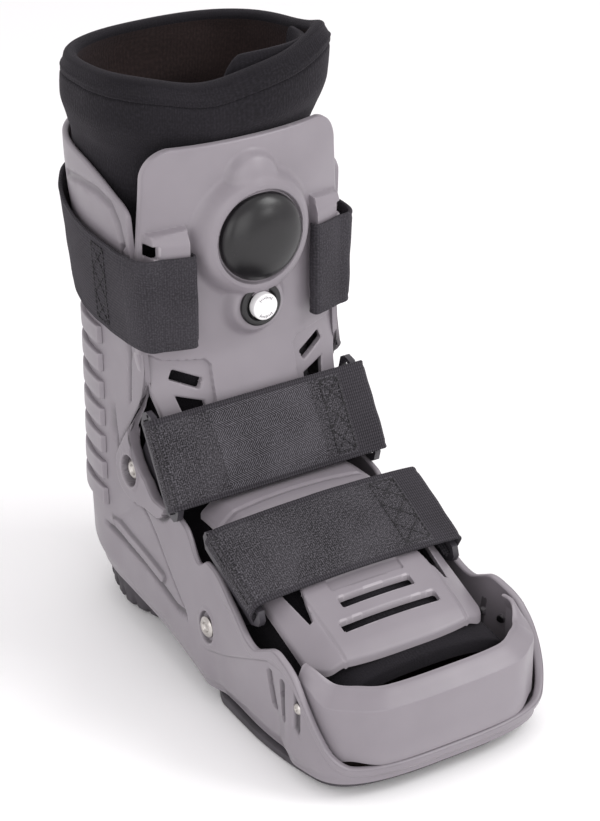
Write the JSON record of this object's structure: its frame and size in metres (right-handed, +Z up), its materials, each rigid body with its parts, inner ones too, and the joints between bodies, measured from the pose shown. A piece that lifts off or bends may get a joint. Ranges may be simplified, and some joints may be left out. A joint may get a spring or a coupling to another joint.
{
  "type": "medical walking boot",
  "caption": "Short rigid walking boot with a rocker sole, padded liner, air pump and valve on the shin panel, foot plate and hook-and-loop straps.",
  "frame": {"origin": "middle of the bounding box in plan, on the floor under the sole", "axes": "+X to the wearer's left, -Y to the toes, +Z up the leg"},
  "size_m": [0.1486, 0.304, 0.319],
  "materials": {
    "grey_plastic": "satin moulded",
    "sole_rubber": "matte",
    "foam": "cloth-faced foam",
    "bulb_rubber": "smooth",
    "black_plastic": "gloss",
    "white_plastic": "satin",
    "liner_cloth": "brushed knit",
    "webbing": "woven",
    "ring_plastic": "satin",
    "steel": "nickel plated"
  },
  "bodies": {
    "boot": {"shell": "grey_plastic", "outsole": "sole_rubber", "footbed": "foam", "toe_cap": "grey_plastic", "shin_panel": "grey_plastic", "foot_plate": "grey_plastic", "pump_bulb": "bulb_rubber", "valve_body": "black_plastic", "liner": "liner_cloth", "calf_strap": "webbing", "ankle_strap": "webbing", "foot_strap": "webbing", "ankle_ring_left": "ring_plastic", "ankle_ring_right": "ring_plastic", "foot_ring_left": "ring_plastic", "foot_ring_right": "ring_plastic", "ankle_rivet_left": "steel", "ankle_rivet_right": "steel", "foot_rivet_left": "steel", "foot_rivet_right": "steel", "toe_screw_left": "steel", "toe_screw_right": "steel"},
    "knob": {"valve_knob": "white_plastic"}
  },
  "joints": [
    {"name": "valve_turn", "type": "hinge", "parent": "boot", "child": "knob", "pos_m": [-0.00479, 0.02, 0.2], "axis": [0, -1, 0], "range_deg": [0, 90]}
  ]
}
